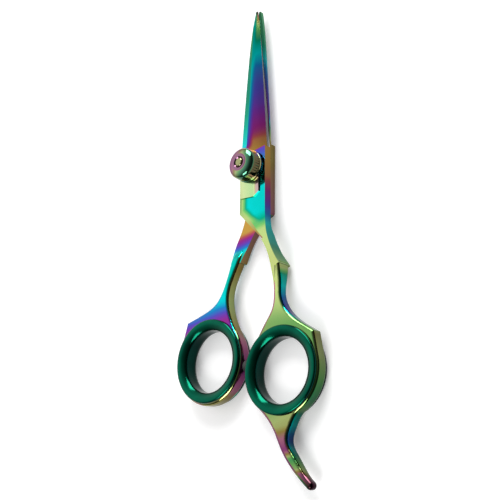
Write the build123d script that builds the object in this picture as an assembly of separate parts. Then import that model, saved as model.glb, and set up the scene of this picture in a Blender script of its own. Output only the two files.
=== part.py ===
from build123d import *
import math
import os

# Hair thinning shears, closed, lying flat on their back.
# Millimetres. The origin is on the pivot axis at the table, +X runs to the finger side,
# +Y towards the blade tips and +Z up through the tension knob.
# The finger half is in front (above), the thumb half behind it (below).

# Heights of the flat faces, all above the table
CONTACT_Z = 3.30        # plane where the two halves slide on each other
RUNNING_GAP = 0.05      # each half stays this far from that plane
FLOOR_Z = 6.20          # polished floor under the tension plate
SHANK_FRONT_Z = 6.60    # front of the finger shank above its elbow
BACK_Z = 0.20           # back of the thumb half's pivot block
RING_BACK_Z = 1.20      # back and front of both metal finger rings
RING_FRONT_Z = 5.40
CLEAR_Z = 9.0           # taller than either half, for blanks that are cut to height

# Finger rings and their inserts
FINGER_CENTRE = (12.1, -67.5)
THUMB_CENTRE = (-17.5, -61.8)
RING_R = 14.1
RING_BORE_R = 12.0
RING_ROUND = 1.1
TANG_END_R = 1.3
INSERT_BORE_R = 10.0
INSERT_LIP_R = 13.5
INSERT_RIM_R = 12.7     # circle where the lip is highest
INSERT_HEIGHT = 6.4
INSERT_MOUTH = 1.9      # height of the rounding from the bore to the rim
LIP_CHAMFER = 0.35

# Front edge of the pivot block: its left corner and the end of the slanted edge below it
BLOCK_CORNER = (-4.8, -15.2)
SLANT_END = (3.2, -23.6)
BEVEL_WIDTH = 1.3
BEVEL_DEPTH = 0.45
ELBOW = (12.2, -34.5)

# Blades
BLADE_TIP_Y = 59.2
BLADE_ROOT_Y = 5.4
CROWN_R = 45.0          # crown of the plain blade's main face
CROWN_DROP = 0.25
CROWN_MIDDLE = 4.6      # from the blade's right edge to the top of the crown
HONE_Z = 3.62           # height of the honed bevel at the cutting edge's root
HONE_NORMAL = (0.75, 0.08, 0.66)
COMB_ROOT_R = 7.6       # rounded back of the comb blade, at its root and at its tip
COMB_TIP_R = 2.4
TOOTH_COUNT = 28
TOOTH_FIRST_Y = 14.0
TOOTH_LAST_Y = 55.0
TOOTH_GAP = 0.75        # width of each slot in the comb
TOOTH_NOTCH = 0.30      # depth of the notch in the end of each tooth

# Pivot
POST_R = 2.50
POST_HEAD_R = 4.30
POST_HEAD_H = 1.10
SPANNER_X = 2.7         # two small blind holes in the head, for a pin spanner
SPANNER_R = 0.45
POST_FLAT = 2.10        # distance from the axis to the post's two flats
CLICK_KEY_R = 1.80      # flattened end of the post that turns the click plate
CLICK_KEY_FLAT = 1.40
THREAD_R = 1.45
KNOB_BORE_R = 1.50
POST_TOP_Z = 12.25
SEAT_FIT = 0.02
RUNNING_FIT = 0.05
LOOSE_FIT = 0.15
BUSH_R = 3.20
RIDE_WASHER_R = 4.60
RIDE_WASHER_H = 0.50

# Tension plate and knob
PLATE_T = 0.45
PLATE_ARCH = 0.25
PLATE_HALF_WIDTH = 3.9
SLIP_WASHER_R = 4.4
SLIP_WASHER_H = 0.20
CLICK_R = 5.45
CLICK_H = 0.70
CLICK_DIMPLES = 24
CLICK_RADIUS = 3.40     # circle that the detent balls run on
BALL_R = 0.50
DIMPLE_DEPTH = 0.15
KNOB_GAP = 0.05
KNOB_R = 5.40
KNOB_SHOULDER_R = 5.20
KNOB_SHOULDER_Z = 10.3
KNOB_FACE_R = 2.80
KNOB_TOP_Z = 12.10
KNOB_DIMPLE_R = 1.9     # rim of the dimple round the post's end
KNURL_COUNT = 40
KNURL_SIZE = 0.55       # side of the square cutter that leaves each groove
KNURL_OUT = 0.18        # its centre lies this far outside the skirt

# Rubber stop between the rings
BUMPER_R = 1.9
BUMPER_POCKET = 1.0

PLATE_TOP_Z = FLOOR_Z + PLATE_ARCH + PLATE_T
CLICK_Z = PLATE_TOP_Z + SLIP_WASHER_H
KNOB_Z = CLICK_Z + CLICK_H + KNOB_GAP


def on_circle(centre, radius, degrees):
    """Point on a circle, with its angle counted anticlockwise from +X."""
    angle = math.radians(degrees)
    return (centre[0] + radius * math.cos(angle), centre[1] + radius * math.sin(angle))


def clockwise(degrees):
    """Clockwise tangent of a circle at that angle."""
    angle = math.radians(degrees)
    return (math.sin(angle), -math.cos(angle))


def ring_arc(centre, start, middle, end):
    """Arc of a ring's outer edge through three angles."""
    return ThreePointArc(*[on_circle(centre, RING_R, a) for a in (start, middle, end)])


def blank(outline):
    """Upright prism over a closed outline."""
    return extrude(make_face(outline), CLEAR_Z)


def slab(low, high):
    """Wide level slab between two heights."""
    return Pos(0, 0, (low + high) / 2) * Box(200, 300, high - low)


def level_line(levels):
    """Edges through (y, z) levels, easing from each level to the next."""
    edges = []
    for start, end in zip(levels, levels[1:]):
        if start[1] == end[1]:
            edges.append(Line(start, end))
        else:
            edges.append(Spline(start, end, tangents=[(-1, 0), (-1, 0)]))
    return edges


def height_band(top, bottom):
    """Slab that fills the height between two level lines, which run towards -Y."""
    ends = [Line(top[0], bottom[0]), Line(top[-1], bottom[-1])]
    section = Plane.YZ * make_face(level_line(top) + level_line(bottom) + ends)
    return extrude(section, 60, both=True)


def upright(radius, low, high, x=0.0, y=0.0):
    """Cylinder along Z between two heights."""
    return Pos(x, y, (low + high) / 2) * Cylinder(radius, high - low)


def spun(outline):
    """Solid of revolution about Z, from a closed outline of (radius, z) edges."""
    return revolve(Plane.XZ * make_face(outline), Axis.Z)


def long_edges(solid, low, high):
    """Edges of a blank's front and back outlines between two Y limits."""
    picked = []
    for edge in solid.edges():
        box = edge.bounding_box()
        inside = low <= box.min.Y and box.max.Y <= high
        if inside and box.size.Y > 0.05:
            picked.append(edge)
    return picked


def finger_grip():
    """Round shaft below the elbow, finger ring and hooked little-finger tang."""
    centre = FINGER_CENTRE
    ring_in = (25.92, -64.53)
    shoulder = (24.4, -57.0)
    tang_out = on_circle(centre, RING_R, -60)
    tang_in = on_circle(centre, RING_R, -130)
    web = on_circle(centre, RING_R, 140)
    end_out = (22.6, -99.9)
    end_way = (0.75, -0.66)
    end_in = (end_out[0] + 2 * TANG_END_R * end_way[1], end_out[1] - 2 * TANG_END_R * end_way[0])
    outline = [
        Spline((12.0, -33.8), (12.35, -40), (12.4, -45), (14.8, -50), shoulder,
               tangents=[(0, -1), (0.82, -0.57)]),
        Line(shoulder, ring_in),
        ThreePointArc(ring_in, on_circle(centre, RING_R, -25), tang_out),
        Spline(tang_out, (15.6, -84.2), (14.4, -87.9), (16.7, -92.5), (20.2, -97.4), end_out,
               tangents=[clockwise(-60), end_way]),
        TangentArc(end_out, end_in, tangent=end_way),
        Spline(end_in, (15.5, -96.4), (11.6, -90.7), (8.9, -85.1), tang_in,
               tangents=[(-end_way[0], -end_way[1]), clockwise(-130)]),
        ring_arc(centre, -130, 180, 140),
        Spline(web, (5.4, -52.4), (8.5, -47.7), (9.2, -42.5), (8.8, -33.8),
               tangents=[clockwise(140), (0, 1)]),
        Line((8.8, -33.8), (12.0, -33.8)),
    ]
    band = height_band(
        [(-30, 6.3), (-34, 6.3), (-43, 5.8), (-52, RING_FRONT_Z), (-84, RING_FRONT_Z), (-103, 4.9)],
        [(-30, 0.8), (-34, 0.8), (-43, 2.2), (-54, RING_BACK_Z), (-84, RING_BACK_Z), (-103, 1.9)])
    grip = blank(outline) & band
    return fillet(long_edges(grip, -110, -33.9), RING_ROUND)


def finger_block():
    """Pivot block of the finger half with the flat-sided shank down to the elbow."""
    top_left = (BLOCK_CORNER[0], BLADE_ROOT_Y - 0.8)
    outline = [
        Line((6.05, BLADE_ROOT_Y + 0.9), (6.2, -12)),
        Spline((6.2, -12), (6.7, -21.4), (8.5, -27.6), ELBOW, tangents=[(0, -1), (0.55, -0.83)]),
        Line(ELBOW, (10.6, -35.2)),
        Spline((10.6, -35.2), (10.3, -38.5), (9.7, -43.0), tangents=[(-0.1, -1), (-0.1, -1)]),
        Spline((9.7, -43.0), (9.0, -35.0), (7.5, -30), (5.3, -26), SLANT_END,
               tangents=[(0, 1), (-0.7, 0.72)]),
        Line(SLANT_END, BLOCK_CORNER),
        Line(BLOCK_CORNER, top_left),
        Line(top_left, (6.05, BLADE_ROOT_Y + 0.9)),
    ]
    band = height_band(
        [(10, FLOOR_Z), (-18.5, FLOOR_Z), (-24, SHANK_FRONT_Z), (-33, SHANK_FRONT_Z), (-44, 5.6)],
        [(10, CONTACT_Z + RUNNING_GAP), (-21, CONTACT_Z + RUNNING_GAP), (-25, 2.4), (-29, 1.8),
         (-34.8, 0.6), (-36, 0.6), (-44, 2.6)])
    return blank(outline) & band


def front_bevel(start, end):
    """Wedge that bevels the front edge along a straight stretch, with the block on its left."""
    run = Vector(*end) - Vector(*start)
    along = run.normalized()
    plane = Plane(origin=(*start, FLOOR_Z), x_dir=(-along.Y, along.X, 0), z_dir=(along.X, along.Y, 0))
    over = 0.01
    side = Polyline((0, -BEVEL_DEPTH), (BEVEL_WIDTH, over), (-1.5, 2), (-1.5, -BEVEL_DEPTH), close=True)
    return extrude(plane * make_face(side), run.length + 3, both=True)


def plain_blade():
    """Plain cutting blade: narrow spine facet, crowned main face and honed edge bevel."""
    root_left = (-4.35, BLADE_ROOT_Y - 1.5)
    root_right = (5.8, BLADE_ROOT_Y)
    tip_right = (0.48, BLADE_TIP_Y - 0.7)
    tip_left = (-0.62, BLADE_TIP_Y - 0.9)
    outline = [
        Spline(root_right, (4.9, 16.5), (3.9, 27.8), (2.7, 39.4), (1.05, 53.6), tip_right),
        ThreePointArc(tip_right, (0.0, BLADE_TIP_Y), tip_left),
        Spline(tip_left, (-1.15, 54.5), (-1.95, 48.5), (-2.95, 35.5), (-3.8, 18.3), root_left),
        Line(root_left, root_right),
    ]
    blade = blank(outline) & slab(CONTACT_Z + RUNNING_GAP, CLEAR_Z)
    main = Plane((5.6, 8, 3.95), x_dir=(-5.6, 51, 0.15), z_dir=(0.27, 0.04, 1))
    axis_at = main.origin + main.z_dir * (CROWN_DROP - CROWN_R) + main.y_dir * CROWN_MIDDLE
    blade = blade & Plane(axis_at, x_dir=main.y_dir, z_dir=main.x_dir) * Cylinder(CROWN_R, 240)
    facet = Plane((-4.15, 8.6, 5.75), x_dir=(3.9, 48, -1.45), z_dir=(-0.16, 0.045, 1))
    blade = blade - facet * slab(0, 8)
    hone = Plane((5.62, 8, HONE_Z), x_dir=(-5.5, 51.2, 0), z_dir=HONE_NORMAL)
    return blade - hone * Pos(0, 0, 4) * Box(200, 30, 8)


def comb_blade():
    """Toothed blade behind the plain one, with a rounded back."""
    root_left = (-3.9, 3.0)
    root_right = (5.5, 3.0)
    tip_right = (1.35, BLADE_TIP_Y - 0.9)
    tip_left = (0.35, BLADE_TIP_Y - 0.9)
    outline = [
        Spline(root_right, (5.55, 12), (4.6, 27), (3.2, 44.0), (1.9, 55.0), tip_right),
        ThreePointArc(tip_right, (0.9, BLADE_TIP_Y - 0.3), tip_left),
        Spline(tip_left, (0.0, 55.5), (-0.9, 47.5), (-2.0, 35.5), (-2.9, 18.3), root_left),
        Line(root_left, root_right),
    ]
    root_axis = Vector(1.0, 0, COMB_ROOT_R + 0.45)
    tip_axis = Vector(0.95, 60, COMB_TIP_R + 2.1)
    span = tip_axis - root_axis
    back = Plane(root_axis + span * 0.5, z_dir=span) * Cone(COMB_ROOT_R, COMB_TIP_R, span.length)
    blade = blank(outline) & slab(-1, CONTACT_Z - RUNNING_GAP) & back
    pitch = (TOOTH_LAST_Y - TOOTH_FIRST_Y) / (TOOTH_COUNT - 1)
    slots = []
    notches = []
    for index in range(TOOTH_COUNT):
        y = TOOTH_FIRST_Y + index * pitch
        share = index / (TOOTH_COUNT - 1)
        left = -3.15 + 3.05 * share ** 1.7
        root = 1.6 - 0.75 * share
        slot = Pos((left + root) / 2 - 1, y, 0) * Box(root - left + 2, TOOTH_GAP, 2 * CLEAR_Z)
        slots.append(slot + upright(TOOTH_GAP / 2, -CLEAR_Z, CLEAR_Z, root, y))
        if index < TOOTH_COUNT - 1:
            notch = Pos(left + TOOTH_NOTCH / 2, y + pitch / 2, 0) * Rot(0, 0, 45)
            notches.append(notch * Box(TOOTH_NOTCH * 1.4, TOOTH_NOTCH * 1.4, 2 * CLEAR_Z))
    return blade - slots - notches


def bumper_plane():
    """Plane on the finger ring's wall that looks straight at the thumb ring."""
    towards = (Vector(*THUMB_CENTRE) - Vector(*FINGER_CENTRE)).normalized()
    seat = Vector(*FINGER_CENTRE) + towards * (RING_R - BUMPER_POCKET)
    middle = (RING_BACK_Z + RING_FRONT_Z) / 2
    return Plane((seat.X, seat.Y, middle), z_dir=(towards.X, towards.Y, 0))


def finger_half():
    left_top = (BLOCK_CORNER[0], BLADE_ROOT_Y)
    block = finger_block() - front_bevel(left_top, BLOCK_CORNER) - front_bevel(BLOCK_CORNER, SLANT_END)
    half = block + finger_grip() + plain_blade()
    half = half - upright(BUSH_R, 0, CLEAR_Z)
    half = half - upright(RING_BORE_R, 0, CLEAR_Z, *FINGER_CENTRE)
    pocket = bumper_plane() * Pos(0, 0, 2) * Cylinder(BUMPER_R, 4)
    return half - pocket


def thumb_grip():
    """Shank and ring of the thumb half, with the root plate that runs up to the block."""
    centre = THUMB_CENTRE
    shoulder = (-27.9, -47.9)
    ring_in = on_circle(centre, RING_R, 158)
    web = on_circle(centre, RING_R, 35)
    outline = [
        Spline((-3.4, -25.2), (-5.3, -29.4), (-7.8, -34.7), (-9.9, -41.5), (-8.4, -48.9), web,
               tangents=[(-0.6, -0.8), clockwise(35)]),
        ring_arc(centre, 35, -60, 158),
        Line(ring_in, shoulder),
        Spline(shoulder, (-20.9, -45.9), (-15.2, -43.1), (-11.4, -36.3), (-9.3, -29.5), (-8.5, -25.2),
               tangents=[(0.9, 0.25), (0.2, 1)]),
        Line((-8.5, -25.2), (-3.4, -25.2)),
    ]
    band = height_band(
        [(-20, 3.2), (-25, 3.2), (-31, 4.9), (-46, RING_FRONT_Z), (-80, RING_FRONT_Z)],
        [(-20, 0.9), (-28, 0.9), (-40, RING_BACK_Z), (-80, RING_BACK_Z)])
    grip = blank(outline) & band
    return fillet(long_edges(grip, -80, -25.3), RING_ROUND)


def thumb_block():
    """Pivot block of the thumb half and the flat root that crosses under the finger half."""
    outline = [
        Line((5.4, 8), (5.4, -15.4)),
        ThreePointArc((5.4, -15.4), (5.05, -16.3), (4.2, -16.7)),
        Spline((4.2, -16.7), (-0.6, -21.9), (-3.4, -26.3), (-5.6, -31.0),
               tangents=[(-0.8, -0.6), (-0.4, -0.9)]),
        Line((-5.6, -31.0), (-9.6, -31.0)),
        Spline((-9.6, -31.0), (-8.6, -25.5), (-6.6, -21.6), (-4.7, -16.8), (-4.3, -12),
               tangents=[(0.15, 1), (0, 1)]),
        Line((-4.3, -12), (-4.3, 3.5)),
        Line((-4.3, 3.5), (5.4, 8)),
    ]
    top = CONTACT_Z - RUNNING_GAP
    band = height_band([(12, top), (-25, top), (-31.5, 4.2), (-40, 4.2)],
                       [(12, BACK_Z), (-15, BACK_Z), (-26, 0.9), (-40, 0.9)])
    return blank(outline) & band


def keyed(radius, flat, low, high):
    """Length of shaft with two flats, each at that distance from the axis."""
    return upright(radius, low, high) & Pos(0, 0, (low + high) / 2) * Box(
        2 * flat, 2 * radius + 1, high - low)


def thumb_half():
    half = thumb_block() + thumb_grip() + comb_blade()
    half = half - upright(RING_BORE_R, -1, CLEAR_Z, *THUMB_CENTRE)
    half = half - keyed(POST_R, POST_FLAT, -1, CLEAR_Z)
    half = half - upright(POST_HEAD_R, -1, POST_HEAD_H)
    return half - upright(RIDE_WASHER_R, CONTACT_Z - RIDE_WASHER_H, CLEAR_Z)


def insert_at(centre):
    """Snap-in finger insert: a waist in the ring's bore between two rolled lips."""
    front_edge = RING_FRONT_Z + LIP_CHAMFER
    back_edge = RING_BACK_Z - LIP_CHAMFER
    lip_foot = INSERT_LIP_R - LIP_CHAMFER
    back_bore = (INSERT_BORE_R, RING_BACK_Z + 0.6)
    front_bore = (INSERT_BORE_R, INSERT_HEIGHT - INSERT_MOUTH)
    front_rim = (INSERT_RIM_R, INSERT_HEIGHT)
    section = [
        Line(back_bore, front_bore),
        Spline(front_bore, (10.9, INSERT_HEIGHT - 0.55), front_rim, tangents=[(0, 1), (1, 0)]),
        Spline(front_rim, (INSERT_LIP_R, front_edge), tangents=[(1, 0), (0, -1)]),
        Line((INSERT_LIP_R, front_edge), (lip_foot, RING_FRONT_Z)),
        Line((lip_foot, RING_FRONT_Z), (RING_BORE_R, RING_FRONT_Z)),
        Line((RING_BORE_R, RING_FRONT_Z), (RING_BORE_R, RING_BACK_Z)),
        Line((RING_BORE_R, RING_BACK_Z), (lip_foot, RING_BACK_Z)),
        Line((lip_foot, RING_BACK_Z), (INSERT_LIP_R, back_edge)),
        Spline((INSERT_LIP_R, back_edge), (INSERT_RIM_R, 0), tangents=[(0, -1), (-1, 0)]),
        Line((INSERT_RIM_R, 0), (11.6, 0)),
        Spline((11.6, 0), back_bore, tangents=[(-1, 0), (0, 1)]),
    ]
    return Pos(*centre, 0) * spun(section)


def bumper():
    """Rubber stop that the thumb ring closes against."""
    gap = (Vector(*THUMB_CENTRE) - Vector(*FINGER_CENTRE)).length - 2 * RING_R
    length = BUMPER_POCKET + gap - 0.25
    plug = Pos(0, 0, length / 2) * Cylinder(BUMPER_R, length)
    plug = fillet(plug.faces().sort_by(Axis.Z)[-1].edges(), 0.45)
    return bumper_plane() * plug


def pivot_post():
    """Flat-headed pivot screw, keyed to the thumb half, with a thinner threaded end."""
    washer_z = CONTACT_Z - RIDE_WASHER_H
    click_top = CLICK_Z + CLICK_H
    head = upright(POST_HEAD_R - SEAT_FIT, 0, POST_HEAD_H)
    head = chamfer(head.edges().sort_by(Axis.Z)[0], 0.25)
    for x in (-SPANNER_X, SPANNER_X):
        head = head - upright(SPANNER_R, -1, 0.6, x)
    thread = upright(THREAD_R, click_top, POST_TOP_Z)
    thread = fillet(thread.edges().sort_by(Axis.Z)[-1], 0.5)
    shank = keyed(POST_R, POST_FLAT, POST_HEAD_H, washer_z) + upright(POST_R, washer_z, CLICK_Z)
    return head + shank + keyed(CLICK_KEY_R, CLICK_KEY_FLAT, CLICK_Z, click_top) + thread


def pivot_bushing():
    low = CONTACT_Z + RUNNING_GAP
    return upright(BUSH_R, low, FLOOR_Z) - upright(POST_R + RUNNING_FIT, 0, CLEAR_Z)


def ride_washer():
    """Thin washer let into the thumb half, that the two halves turn on."""
    low = CONTACT_Z - RIDE_WASHER_H
    ring = upright(RIDE_WASHER_R - SEAT_FIT, low, CONTACT_Z + RUNNING_GAP - SEAT_FIT)
    return ring - upright(POST_R + RUNNING_FIT, 0, CLEAR_Z)


def tension_plate():
    """Arched leaf spring under the knob, shield shaped, with one slanted lower corner."""
    w = PLATE_HALF_WIDTH
    outline = [
        Line((-w, 2.5), (-w, -10.3)),
        Line((-w, -10.3), (1.7, -10.6)),
        Line((1.7, -10.6), (w, -9.2)),
        Line((w, -9.2), (w, 2.5)),
        ThreePointArc((w, 2.5), (0, 4.9), (-w, 2.5)),
    ]
    top = [(6, FLOOR_Z + PLATE_T), (4.8, FLOOR_Z + PLATE_T), (2.0, PLATE_TOP_Z), (-3.0, PLATE_TOP_Z),
           (-10.0, FLOOR_Z + PLATE_T), (-12, FLOOR_Z + PLATE_T)]
    bottom = [(y, z - PLATE_T) for y, z in top]
    plate = blank(outline) & height_band(top, bottom)
    lower_edges = plate.edges().filter_by(lambda edge: edge.bounding_box().min.Y < -8)
    plate = chamfer(lower_edges.group_by(Axis.Z)[-1], 0.12)
    return plate - upright(POST_R + LOOSE_FIT, 0, 12)


def slip_washer():
    return upright(SLIP_WASHER_R, PLATE_TOP_Z, CLICK_Z - 0.01) - upright(POST_R + LOOSE_FIT, 0, 12)


def click_plate():
    """Keyed disc whose ring of dimples catches the knob's two balls."""
    disc = upright(CLICK_R, CLICK_Z, CLICK_Z + CLICK_H)
    disc = fillet(disc.edges(), 0.2)
    disc = disc - keyed(CLICK_KEY_R, CLICK_KEY_FLAT, CLICK_Z - 1, CLICK_Z + 2)
    height = CLICK_Z + CLICK_H + BALL_R - DIMPLE_DEPTH
    dimples = []
    for index in range(CLICK_DIMPLES):
        x, y = on_circle((0, 0), CLICK_RADIUS, index * 360 / CLICK_DIMPLES)
        dimples.append(Pos(x, y, height) * Sphere(BALL_R + 0.03))
    return disc - dimples


def detent_places():
    """The two detent positions, opposite each other."""
    return [on_circle((0, 0), CLICK_RADIUS, angle) for angle in (90, 270)]


def detent_balls():
    height = CLICK_Z + CLICK_H + BALL_R - DIMPLE_DEPTH + 0.02
    return [Pos(x, y, height) * Sphere(BALL_R) for x, y in detent_places()]


def detent_springs():
    """Small coil springs above the balls."""
    low = CLICK_Z + CLICK_H + 2 * BALL_R - DIMPLE_DEPTH + 0.12
    coil_r = 0.32
    wire_r = 0.08
    coil = Helix(0.3, 1.2, coil_r)
    wire = sweep(Plane(coil @ 0, z_dir=coil % 0) * Circle(wire_r), path=coil, is_frenet=True)
    return [Pos(x, y, low) * wire for x, y in detent_places()]


def tension_knob():
    """Domed dial nut with a knurled skirt and a centre hole that shows the post's end."""
    crown = KNOB_TOP_Z - 0.1
    outline = [
        Line((KNOB_BORE_R, KNOB_Z), (KNOB_R - 0.15, KNOB_Z)),
        Line((KNOB_R - 0.15, KNOB_Z), (KNOB_R, KNOB_Z + 0.15)),
        Line((KNOB_R, KNOB_Z + 0.15), (KNOB_SHOULDER_R, KNOB_SHOULDER_Z)),
        Spline((KNOB_SHOULDER_R, KNOB_SHOULDER_Z), (4.5, 11.45), (KNOB_FACE_R, crown),
               tangents=[(-0.1, 1), (-1, 0.12)]),
        Spline((KNOB_FACE_R, crown), (2.1, KNOB_TOP_Z), (KNOB_DIMPLE_R, crown),
               tangents=[(-0.9, 0.3), (-0.4, -0.9)]),
        Line((KNOB_DIMPLE_R, crown), (KNOB_BORE_R, KNOB_TOP_Z - 0.5)),
        Line((KNOB_BORE_R, KNOB_TOP_Z - 0.5), (KNOB_BORE_R, KNOB_Z)),
    ]
    knob = spun(outline)
    low = KNOB_Z + 0.35
    high = KNOB_SHOULDER_Z - 0.1
    cutter = Pos(KNOB_R + KNURL_OUT, 0, (low + high) / 2) * Rot(0, 0, 45)
    cutter = cutter * Box(KNURL_SIZE, KNURL_SIZE, high - low)
    knob = knob - [Rot(0, 0, index * 360 / KNURL_COUNT) * cutter for index in range(KNURL_COUNT)]
    for x, y in detent_places():
        knob = knob - upright(BALL_R + RUNNING_FIT, KNOB_Z - 1, KNOB_Z + 2.2, x, y)
    return knob


def main():
    nodes = {
        "finger_half": finger_half(),
        "thumb_half": thumb_half(),
        "finger_insert": insert_at(FINGER_CENTRE),
        "thumb_insert": insert_at(THUMB_CENTRE),
        "bumper": bumper(),
        "pivot_post": pivot_post(),
        "pivot_bushing": pivot_bushing(),
        "ride_washer": ride_washer(),
        "tension_plate": tension_plate(),
        "slip_washer": slip_washer(),
        "click_plate": click_plate(),
        "detent_balls": Compound(children=detent_balls()),
        "detent_springs": Compound(children=detent_springs()),
        "tension_knob": tension_knob(),
    }
    os.makedirs("parts", exist_ok=True)
    for name, solid in nodes.items():
        export_step(solid, f"parts/{name}.step")
        print(name, len(solid.solids()), round(solid.volume, 2), solid.is_valid)


main()
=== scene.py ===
import bpy
from mathutils import Matrix, Vector


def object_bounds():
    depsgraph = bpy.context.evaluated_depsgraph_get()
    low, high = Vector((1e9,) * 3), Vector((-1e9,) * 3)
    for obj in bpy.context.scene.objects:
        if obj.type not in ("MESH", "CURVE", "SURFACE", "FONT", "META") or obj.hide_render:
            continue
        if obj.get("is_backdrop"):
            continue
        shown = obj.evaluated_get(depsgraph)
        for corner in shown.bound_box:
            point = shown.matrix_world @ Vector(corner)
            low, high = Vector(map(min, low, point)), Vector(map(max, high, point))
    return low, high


# Thinning shears lying on a pale table. Metres, +X to the finger side, +Y to the blade tips, +Z up.
# Every CAD node stays. This script gives them their finishes, the table, the light and the camera.

MM = 0.001

# Camera: close to the finger side and the handles, looking across at the front face
CAMERA_AT = Vector((179.65, -112.24, 211.27)) * MM
CAMERA_RIGHT = Vector((0.755, 0.0121, -0.6556))
CAMERA_UP = Vector((0.1843, 0.9556, 0.2299))
CAMERA_LENS = 64.8
SENSOR_WIDTH = 36.0

# Stretch of the object along Y that the colour bands are laid out on, in millimetres
BAND_FROM = -104.0
BAND_TO = 60.0
STEP_SLOPE = 0.157      # the step in front of the pivot block runs across at this slope

# Lower left corner of the pivot block and the inward direction of the slanted edge below it
BLOCK_CORNER = (-4.8, -15.2)
SLANT_INWARD = (0.724, 0.690)

# Interference colours of the coating, in the order of growing film thickness
FILM = [
    (0.00, (0.45, 0.26, 0.05)),
    (0.08, (0.36, 0.07, 0.07)),
    (0.16, (0.25, 0.02, 0.18)),
    (0.25, (0.16, 0.03, 0.30)),
    (0.33, (0.07, 0.06, 0.40)),
    (0.42, (0.01, 0.17, 0.45)),
    (0.50, (0.00, 0.55, 0.54)),
    (0.58, (0.00, 0.32, 0.17)),
    (0.66, (0.15, 0.46, 0.12)),
    (0.74, (0.46, 0.56, 0.20)),
    (0.82, (0.34, 0.25, 0.06)),
    (0.90, (0.45, 0.16, 0.24)),
    (1.00, (0.28, 0.04, 0.22)),
]
UNCOATED_STEEL = (0.42, 0.42, 0.43)
BLADE_BACK_FILM = 0.53
BLADE_HALF_WIDTH = (5.0, 0.45)      # at the root and at the tip of the plain blade, in millimetres
BLADE_SPAN = (5.0, 60.0)            # Y of its root and its tip

# The polish varies between these two roughnesses
MIRROR = (0.05, 0.13)
KNOB_MIRROR = (0.06, 0.15)
PLATE_MIRROR = (0.08, 0.18)
SCREW_MIRROR = (0.10, 0.22)
GROUND_ROUGHNESS = 0.36

# Painted shade: factors that darken the coating's colour
WALL_PAINTED_SHADE = 0.45       # upright walls of both halves
END_PAINTED_SHADE = 0.15        # blade tip and tang end
GRIP_PAINTED_SHADE = 0.60       # finger ring and tang
BACK_PAINTED_SHADE = 0.55       # spine facet of the plain blade
INNER_PAINTED_SHADE = 0.25      # inner face of the comb blade

# Surroundings: brightest in one direction, from (closeness to it, grey) steps
BRIGHT_SIDE = (-0.72, 0.32, 0.62)
SKY_STEPS = ((0.00, 0.03), (0.35, 0.06), (0.62, 0.22), (0.83, 0.60), (0.96, 1.0))
SKY_STRENGTH = 1.3
TABLE_HALF = 2.5
TABLE_GAP = 0.0001      # keeps the table just clear of the lowest face
# Painted light: the table's faint glow
TABLE_GLOW = 0.25


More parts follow.
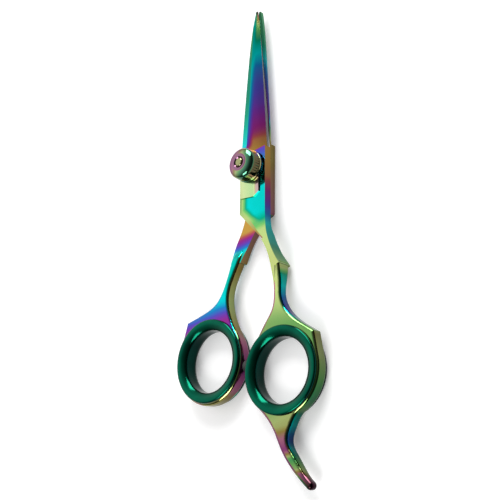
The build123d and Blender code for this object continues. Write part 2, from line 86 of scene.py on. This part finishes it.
class Finish:
    """A material's node tree, with short calls for the nodes used below.

    x, y and z are the place on the part in millimetres; nx, ny and nz the way its surface faces.
    """

    def __init__(self, name):
        self.material = bpy.data.materials.new(name)
        self.material.use_nodes = True
        self.tree = self.material.node_tree
        self.shader = self.tree.nodes["Principled BSDF"]
        self.place = self.add("ShaderNodeTexCoord").outputs
        self.x, self.y, self.z = [
            self.maths("MULTIPLY", axis, 1 / MM) for axis in self.axes(self.place["Object"])]
        self.nx, self.ny, self.nz = self.axes(self.place["Normal"])

    def add(self, kind, **settings):
        node = self.tree.nodes.new(kind)
        for key, value in settings.items():
            setattr(node, key, value)
        return node

    def feed(self, socket, value):
        """Links a node's output to a socket, or sets the socket to a constant."""
        if isinstance(value, bpy.types.NodeSocket):
            self.tree.links.new(value, socket)
        else:
            socket.default_value = value

    def maths(self, operation, a, b):
        node = self.add("ShaderNodeMath", operation=operation)
        self.feed(node.inputs[0], a)
        self.feed(node.inputs[1], b)
        return node.outputs[0]

    def axes(self, vector):
        node = self.add("ShaderNodeSeparateXYZ")
        self.feed(node.inputs[0], vector)
        return node.outputs

    def remap(self, value, low, high, to_low=0.0, to_high=1.0, smooth=True):
        """Value taken from the range low..high to to_low..to_high, and held at its ends."""
        node = self.add("ShaderNodeMapRange")
        node.interpolation_type = "SMOOTHSTEP" if smooth else "LINEAR"
        self.feed(node.inputs["Value"], value)
        limits = {"From Min": low, "From Max": high, "To Min": to_low, "To Max": to_high}
        for key, number in limits.items():
            node.inputs[key].default_value = number
        return node.outputs["Result"]

    def ramp(self, value, stops):
        node = self.add("ShaderNodeValToRGB")
        elements = node.color_ramp.elements
        while len(elements) < len(stops):
            elements.new(0.5)
        for element, (at, colour) in zip(elements, stops):
            element.position = at
            element.color = (*colour, 1.0)
        self.feed(node.inputs[0], value)
        return node.outputs[0]

    def blend(self, share, a, b):
        node = self.add("ShaderNodeMix", data_type="RGBA")
        self.feed(node.inputs["Factor"], share)
        self.feed(node.inputs[6], a if isinstance(a, bpy.types.NodeSocket) else (*a, 1.0))
        self.feed(node.inputs[7], b if isinstance(b, bpy.types.NodeSocket) else (*b, 1.0))
        return node.outputs[2]

    def multiply(self, a, b):
        node = self.add("ShaderNodeMix", data_type="RGBA", blend_type="MULTIPLY")
        node.inputs["Factor"].default_value = 1.0
        self.feed(node.inputs[6], a)
        self.feed(node.inputs[7], b)
        return node.outputs[2]

    def scaled(self, colour, share, low, high):
        """The colour times a factor that runs from low to high as share runs from 0 to 1."""
        return self.multiply(colour, self.blend(share, (low,) * 3, (high,) * 3))

    def mix_value(self, share, a, b):
        node = self.add("ShaderNodeMix", data_type="FLOAT")
        self.feed(node.inputs["Factor"], share)
        self.feed(node.inputs[2], a)
        self.feed(node.inputs[3], b)
        return node.outputs[0]

    def noise(self, scale, detail=2.0, stretch=(1.0, 1.0, 1.0)):
        mapping = self.add("ShaderNodeMapping")
        mapping.inputs["Scale"].default_value = stretch
        self.feed(mapping.inputs["Vector"], self.place["Object"])
        node = self.add("ShaderNodeTexNoise")
        self.feed(node.inputs["Vector"], mapping.outputs[0])
        node.inputs["Scale"].default_value = scale
        node.inputs["Detail"].default_value = detail
        return node.outputs["Fac"]

    def varied(self, film, amount, scale, detail=2.0):
        """Film thickness with a slow drift over the surface."""
        drift = self.maths("SUBTRACT", self.noise(scale, detail), 0.5)
        return self.maths("ADD", film, self.maths("MULTIPLY", drift, amount))

    def bump(self, height, strength, distance):
        node = self.add("ShaderNodeBump")
        node.inputs["Strength"].default_value = strength
        node.inputs["Distance"].default_value = distance
        self.feed(node.inputs["Height"], height)
        self.feed(self.shader.inputs["Normal"], node.outputs[0])

    def set(self, **values):
        for key, value in values.items():
            self.feed(self.shader.inputs[key.replace("_", " ")], value)


def along_y(finish, y_mm, stops):
    """Film thickness along the shears, from (millimetres, thickness) stops."""
    share = finish.remap(y_mm, BAND_FROM, BAND_TO, smooth=False)
    span = BAND_TO - BAND_FROM
    grey = [((y - BAND_FROM) / span, (film, film, film)) for y, film in sorted(stops)]
    return finish.ramp(share, grey)


def polished(finish, polish, ground=0.0):
    """Mirror polish with faint hand marks and fine polishing lines, duller where the steel is ground."""
    smear = finish.remap(finish.noise(90.0, 3.0), 0.35, 0.7, *polish)
    finish.set(Roughness=finish.mix_value(ground, smear, GROUND_ROUGHNESS))
    lines = finish.noise(2200.0, 2.0, (1.0, 0.04, 1.0))
    finish.bump(lines, 0.05, 0.02 * MM)


def growth_at_edges(finish, growth):
    """Extra film thickness towards the left and the slanted edge of the pivot block."""
    from_left = finish.maths("ADD", finish.x, -BLOCK_CORNER[0])
    from_below = finish.maths("ADD", finish.y, -BLOCK_CORNER[1])
    across = finish.maths("MULTIPLY", from_left, SLANT_INWARD[0])
    down = finish.maths("MULTIPLY", from_below, SLANT_INWARD[1])
    nearest = finish.maths("MINIMUM", from_left, finish.maths("ADD", across, down))
    below_step = finish.remap(finish.y, 5.4, 5.2)
    above_shank = finish.remap(finish.y, -21.5, -17.0)
    on_block = finish.maths("MULTIPLY", below_step, above_shank)
    return finish.maths("MULTIPLY", finish.remap(nearest, 4.3, 0.9, 0.0, growth), on_block)


def towards_blade_back(finish, share):
    """How far a place on the blade is towards its back: 0 on the cutting side, share at the back."""
    width = finish.remap(finish.y, *BLADE_SPAN, *BLADE_HALF_WIDTH, smooth=False)
    towards_back = finish.remap(finish.maths("DIVIDE", finish.x, width), 0.15, -0.65)
    return finish.maths("MULTIPLY", towards_back, finish.remap(finish.y, 6.0, 9.0, 0.0, share))


def coated_half(name, front, right, left, edge_growth=0.0, blade_share=0.0):
    """Rainbow coating of one half: its own bands on the front, right and left faces.

    The film grows by edge_growth towards the left edges of the pivot block, and turns
    by blade_share into the film of the blade's back.
    """
    finish = Finish(name)
    skewed = finish.maths("SUBTRACT", finish.y, finish.maths("MULTIPLY", finish.x, STEP_SLOPE))
    film = finish.maths("ADD", along_y(finish, skewed, front), growth_at_edges(finish, edge_growth))
    film = finish.mix_value(towards_blade_back(finish, blade_share), film, BLADE_BACK_FILM)
    film = finish.mix_value(finish.remap(finish.nx, 0.30, 0.80), film, along_y(finish, finish.y, right))
    film = finish.mix_value(finish.remap(finish.nx, -0.05, -0.20), film, along_y(finish, finish.y, left))
    colour = finish.ramp(finish.varied(film, 0.10, 60.0, 3.0), FILM)
    # Painted shade: the upright walls get a darker copy of the coating colour
    return finish, finish.scaled(colour, finish.remap(finish.nz, 0.2, 0.9), WALL_PAINTED_SHADE, 1.0)


def finger_steel():
    front = [(59.5, 0.98), (57.7, 0.90), (55.7, 0.82), (53, 0.68), (49, 0.60), (44, 0.52), (38, 0.43),
             (30, 0.34), (23, 0.28), (17, 0.19), (12.5, 0.12), (9.5, 0.03), (5.4, 0.0), (5.3, 0.30),
             (1, 0.42), (-8, 0.50), (-17, 0.51), (-20, 0.58), (-23, 0.71), (-34, 0.75), (-42, 0.74),
             (-56, 0.68), (-80, 0.70), (-86, 0.76), (-89.5, 0.90), (-93, 0.98), (-96, 0.62), (-99, 0.70),
             (-101, 0.95), (-103, 0.90)]
    right = [(57, 0.80), (8, 0.06), (6, 0.0), (-4, 0.03), (-9, 0.14), (-13, 0.26), (-17, 0.40), (-21, 0.50),
             (-27, 0.55), (-33, 0.66), (-35.5, 0.76), (-38, 0.56), (-44, 0.44), (-50, 0.28), (-55, 0.60),
             (-58, 0.80), (-62, 0.76), (-70, 0.68), (-78, 0.60), (-84, 0.50), (-88, 0.38), (-91, 0.52),
             (-94, 0.64), (-97, 0.74), (-99.5, 0.92), (-103, 0.98)]
    left = [(58, 0.74), (50, 0.66), (40, 0.60), (20, 0.58), (6, 0.51), (0, 0.60), (-15, 0.72), (-22, 0.80),
            (-30, 0.92), (-45, 0.90), (-55, 0.88), (-60, 0.60), (-78, 0.90), (-92, 0.98), (-96, 0.98),
            (-99, 0.62), (-103, 0.55)]
    finish, colour = coated_half("coated_finger_half", front, right, left, 0.22, 0.9)
    # Painted shade: the blade tip and the tang end are darkened
    ends = finish.maths("MULTIPLY", finish.remap(finish.y, 59.2, 57.2), finish.remap(finish.y, -101.5, -96.5))
    colour = finish.scaled(colour, ends, END_PAINTED_SHADE, 1.0)
    # Painted shade: the finger ring and tang darken below Y -42 mm
    colour = finish.scaled(colour, finish.remap(finish.y, -42.0, -56.0), 1.0, GRIP_PAINTED_SHADE)
    # Painted shade: the left-facing spine facet of the plain blade is darkened
    back = finish.maths("MULTIPLY", finish.remap(finish.y, 8.0, 30.0), finish.remap(finish.nx, -0.05, -0.12))
    colour = finish.scaled(colour, back, 1.0, BACK_PAINTED_SHADE)
    honed = finish.remap(finish.nx, 0.55, 0.65)
    inner = finish.remap(finish.nz, -0.7, -0.9)
    on_blade = finish.remap(finish.y, 6.3, 6.5)
    bare = finish.maths("MULTIPLY", on_blade, finish.maths("MAXIMUM", honed, inner))
    finish.set(Base_Color=finish.blend(bare, colour, UNCOATED_STEEL), Metallic=1.0)
    polished(finish, MIRROR, bare)
    return finish.material


def thumb_steel():
    front = [(59, 0.62), (45, 0.58), (36, 0.44), (25, 0.28), (14, 0.16), (8, 0.05), (-15, 0.0),
             (-20.0, 0.0), (-21.5, 0.10), (-22.8, 0.22), (-24.2, 0.34), (-25.6, 0.46), (-27.0, 0.55),
             (-36, 0.56), (-41, 0.50), (-43.5, 0.42), (-45.5, 0.30), (-48, 0.17), (-50.5, 0.28),
             (-53, 0.40), (-60, 0.46), (-76, 0.88)]
    right = [(59, 0.62), (45, 0.58), (33, 0.42), (20, 0.30), (8, 0.82), (-5, 0.84), (-12, 0.86), (-17, 0.9),
             (-26, 0.86), (-34, 0.82), (-44, 0.74), (-52, 0.80), (-58, 0.92), (-66, 1.0), (-71, 0.94),
             (-76, 0.86)]
    left = [(59, 0.60), (6, 0.56), (-24, 0.50), (-28, 0.54), (-38, 0.54), (-46, 0.40), (-52, 0.22),
            (-60, 0.40), (-76, 0.90)]
    finish, colour = coated_half("coated_thumb_half", front, right, left)
    # Painted shade: the comb blade's inner face, between the two blades, is darkened
    inner = finish.maths("MULTIPLY", finish.remap(finish.y, 8.0, 8.4), finish.remap(finish.nz, 0.7, 0.9))
    finish.set(Base_Color=finish.scaled(colour, inner, 1.0, INNER_PAINTED_SHADE), Metallic=1.0)
    polished(finish, MIRROR)
    return finish.material


def knob_steel():
    """Knob coating: mauve on its left and round the centre, dark green on the dome, olive knurling; painted
    shade darkens its steeper faces.
    """
    finish = Finish("coated_knob")
    across = finish.maths("SUBTRACT", finish.x, finish.maths("MULTIPLY", finish.y, 0.45))
    squares = [finish.maths("MULTIPLY", axis, axis) for axis in (finish.x, finish.y)]
    rim = finish.remap(finish.maths("POWER", finish.maths("ADD", *squares), 0.5), 3.1, 2.7)
    skirt = finish.maths("MULTIPLY", finish.remap(finish.nz, 0.30, 0.10), finish.remap(finish.nx, -0.2, 0.5))
    film = finish.mix_value(rim, finish.remap(across, -4.2, 3.0, 0.97, 0.60), 0.95)
    film = finish.mix_value(skirt, film, 0.81)
    colour = finish.ramp(finish.varied(film, 0.10, 160.0), FILM)
    colour = finish.blend(finish.mix_value(rim, 0.25, 0.45), colour, (0.30, 0.24, 0.30))
    # Painted shade: the knob's steeper faces are darker than its top
    colour = finish.scaled(colour, finish.remap(finish.nz, 0.1, 0.9), 0.25, 0.75)
    finish.set(Base_Color=colour, Metallic=1.0)
    polished(finish, KNOB_MIRROR)
    return finish.material


def small_steel(name, start, end):
    """Coating of a small pivot part, from one film thickness on its left to another on its right."""
    finish = Finish(name)
    film = finish.remap(finish.x, -4.5, 4.5, start, end)
    colour = finish.ramp(finish.varied(film, 0.14, 140.0), FILM)
    finish.set(Base_Color=finish.blend(0.45, colour, (0.16, 0.15, 0.14)), Metallic=1.0)
    polished(finish, SCREW_MIRROR)
    return finish.material


def plate_steel():
    """Tension plate: yellow-green, turning pink towards its right edge."""
    finish = Finish("coated_tension_plate")
    green = finish.remap(finish.x, -3.9, 1.6, 0.76, 0.69)
    film = finish.mix_value(finish.remap(finish.x, 1.6, 3.2), green, 0.92)
    colour = finish.ramp(finish.varied(film, 0.10, 150.0), FILM)
    finish.set(Base_Color=finish.blend(0.35, colour, (0.62, 0.74, 0.50)), Metallic=1.0)
    polished(finish, PLATE_MIRROR)
    return finish.material


def insert_plastic():
    """Glossy metallic-green moulded insert, with painted shade darkening its walls, and a faint moulding
    texture.
    """
    finish = Finish("green_insert")
    cloud = finish.noise(120.0, 3.0)
    lip = finish.ramp(cloud, [(0.3, (0.0, 0.060, 0.036)), (0.7, (0.0, 0.105, 0.056))])
    # Painted shade: the wall colour is a darker copy of the lip colour, used where faces turn away from the
    # front
    wall = finish.ramp(cloud, [(0.3, (0.0, 0.016, 0.013)), (0.7, (0.0, 0.030, 0.022))])
    finish.set(Base_Color=finish.blend(finish.remap(finish.nz, 0.15, 0.95), wall, lip), Metallic=0.95,
               Roughness=finish.remap(cloud, 0.3, 0.7, 0.10, 0.18))
    finish.bump(finish.noise(900.0, 2.0), 0.06, 0.03 * MM)
    return finish.material


def plain_metal(name, dark, light, low, high):
    """Uncoated turned metal with fine tool marks."""
    finish = Finish(name)
    cloud = finish.noise(300.0, 3.0)
    finish.set(Base_Color=finish.ramp(cloud, [(0.3, dark), (0.7, light)]), Metallic=1.0,
               Roughness=finish.remap(cloud, 0.3, 0.7, low, high))
    finish.bump(finish.noise(1800.0, 2.0, (1.0, 1.0, 0.1)), 0.10, 0.03 * MM)
    return finish.material


def soft_plastic(name, dark, light, roughness):
    """Matte rubber or nylon with a slightly mottled surface."""
    finish = Finish(name)
    cloud = finish.noise(400.0, 3.0)
    finish.set(Base_Color=finish.ramp(cloud, [(0.3, dark), (0.7, light)]),
               Roughness=finish.remap(cloud, 0.3, 0.7, roughness, roughness + 0.15))
    finish.bump(finish.noise(2500.0, 2.0), 0.20, 0.04 * MM)
    return finish.material


def dress(node, material):
    """Puts one material on a CAD node."""
    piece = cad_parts[node]
    piece.data.materials.clear()
    piece.data.materials.append(material)


def dress_all():
    insert = insert_plastic()
    bronze = plain_metal("bearing_bronze", (0.42, 0.28, 0.12), (0.62, 0.45, 0.22), 0.25, 0.40)
    steel = plain_metal("bright_steel", (0.45, 0.45, 0.46), (0.65, 0.65, 0.66), 0.15, 0.30)
    finishes = {
        "finger_half": finger_steel(),
        "thumb_half": thumb_steel(),
        "tension_plate": plate_steel(),
        "tension_knob": knob_steel(),
        "click_plate": small_steel("coated_click_plate", 0.42, 0.78),
        "pivot_post": small_steel("coated_pivot_screw", 0.78, 0.78),
        "finger_insert": insert,
        "thumb_insert": insert,
        "bumper": soft_plastic("black_rubber", (0.015, 0.015, 0.015), (0.03, 0.03, 0.03), 0.45),
        "slip_washer": soft_plastic("white_nylon", (0.70, 0.69, 0.64), (0.80, 0.79, 0.75), 0.40),
        "pivot_bushing": bronze,
        "ride_washer": bronze,
        "detent_balls": steel,
        "detent_springs": steel,
    }
    for node, material in finishes.items():
        dress(node, material)


def table_top():
    """Plain pale table that the shears lie on."""
    half = TABLE_HALF
    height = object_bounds()[0].z - TABLE_GAP
    mesh = bpy.data.meshes.new("table_top")
    corners = [(-half, -half, height), (half, -half, height), (half, half, height), (-half, half, height)]
    mesh.from_pydata(corners, [], [(0, 1, 2, 3)])
    top = bpy.data.objects.new("table_top", mesh)
    bpy.context.scene.collection.objects.link(top)
    finish = Finish("pale_table")
    cloud = finish.noise(8.0, 2.0)
    # The table glows faintly: painted light that brightens it and lifts its shadows
    finish.set(Base_Color=finish.ramp(cloud, [(0.3, (0.88, 0.88, 0.88)), (0.7, (0.91, 0.91, 0.91))]),
               Roughness=0.9, Emission_Color=(1.0, 1.0, 1.0, 1.0), Emission_Strength=TABLE_GLOW)
    mesh.materials.append(finish.material)
    top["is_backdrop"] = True


def area_light(name, at, aim, size, power):
    light = bpy.data.lights.new(name, "AREA")
    light.shape = "SQUARE"
    light.size = size
    light.energy = power
    lamp = bpy.data.objects.new(name, light)
    lamp.location = at
    lamp.rotation_mode = "QUATERNION"
    lamp.rotation_quaternion = (Vector(aim) - Vector(at)).to_track_quat("-Z", "Y")
    bpy.context.scene.collection.objects.link(lamp)


def studio():
    """Soft surroundings: bright to the left behind the blades, grey overhead and dark beside the camera."""
    world = bpy.data.worlds.new("studio")
    bpy.context.scene.world = world
    world.use_nodes = True
    tree = world.node_tree
    place = tree.nodes.new("ShaderNodeTexCoord")
    aim = tree.nodes.new("ShaderNodeVectorMath")
    aim.operation = "DOT_PRODUCT"
    aim.inputs[1].default_value = Vector(BRIGHT_SIDE).normalized()
    ramp = tree.nodes.new("ShaderNodeValToRGB")
    while len(ramp.color_ramp.elements) < len(SKY_STEPS):
        ramp.color_ramp.elements.new(0.5)
    for element, (at, grey) in zip(ramp.color_ramp.elements, SKY_STEPS):
        element.position = at
        element.color = (grey, grey, grey, 1.0)
    tree.links.new(place.outputs["Generated"], aim.inputs[0])
    tree.links.new(aim.outputs["Value"], ramp.inputs[0])
    tree.links.new(ramp.outputs[0], tree.nodes["Background"].inputs["Color"])
    tree.nodes["Background"].inputs["Strength"].default_value = SKY_STRENGTH
    area_light("far_soft_box", (0.12, 1.25, 0.75), (0, 0, 0), 0.9, 22.0)
    area_light("back_soft_box", (-0.1, -1.1, 0.9), (0, 0, 0), 0.7, 10.0)


def camera():
    data = bpy.data.cameras.new("camera")
    data.lens = CAMERA_LENS
    data.sensor_width = SENSOR_WIDTH
    data.clip_start = 0.01
    data.clip_end = 20.0
    rig = bpy.data.objects.new("camera", data)
    right = CAMERA_RIGHT.normalized()
    back = right.cross(CAMERA_UP).normalized()
    up = back.cross(right)
    turn = Matrix((right, up, back)).transposed()
    rig.matrix_world = Matrix.Translation(CAMERA_AT) @ turn.to_4x4()
    bpy.context.scene.collection.objects.link(rig)
    bpy.context.scene.camera = rig


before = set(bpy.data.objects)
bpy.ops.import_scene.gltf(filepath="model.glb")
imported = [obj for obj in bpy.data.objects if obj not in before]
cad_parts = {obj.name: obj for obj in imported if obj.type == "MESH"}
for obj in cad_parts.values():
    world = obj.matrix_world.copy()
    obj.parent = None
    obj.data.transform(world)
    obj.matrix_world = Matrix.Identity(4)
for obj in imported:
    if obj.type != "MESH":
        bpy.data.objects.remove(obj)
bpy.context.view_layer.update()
bpy.context.scene.view_settings.view_transform = "Standard"
camera()
dress_all()
table_top()
studio()
